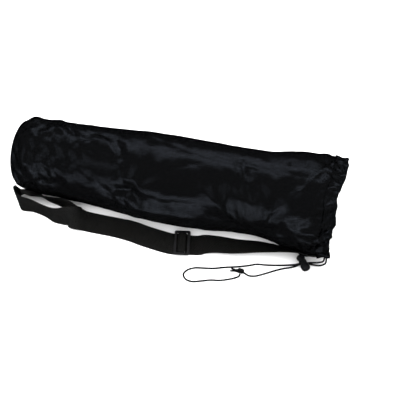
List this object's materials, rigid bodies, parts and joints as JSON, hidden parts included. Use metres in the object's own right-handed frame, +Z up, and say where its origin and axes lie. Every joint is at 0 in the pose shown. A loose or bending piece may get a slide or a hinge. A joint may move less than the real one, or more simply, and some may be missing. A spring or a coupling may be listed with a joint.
{
  "type": "yoga mat bag",
  "caption": "Long black drawstring bag of thin nylon for a rolled mat, lying on its side and open at the mouth, with a webbing shoulder strap, slider and cord lock.",
  "frame": {"origin": "under the middle of the bag's length, on the flat patch that it rests on", "axes": "+X along the bag from the closed base to the open mouth, -Y the side that the strap lies on, +Z up"},
  "size_m": [0.5533, 0.244, 0.1406],
  "materials": {
    "nylon": "plain woven nylon, slight sheen",
    "webbing": "ribbed polypropylene webbing, matt",
    "cord": "braided cord, matt",
    "slider_plastic": "moulded acetal, satin",
    "lock_plastic": "moulded, semi-gloss"
  },
  "bodies": {
    "root": {"bag_body": "nylon", "base_panel": "nylon", "mouth_hem": "nylon", "shoulder_strap": "webbing", "strap_keeper": "webbing", "strap_slider": "slider_plastic", "drawcord_loop": "cord", "drawcord_return": "cord", "cord_knot": "cord", "cord_lock_barrel": "lock_plastic", "cord_lock_button": "lock_plastic"}
  },
  "joints": []
}
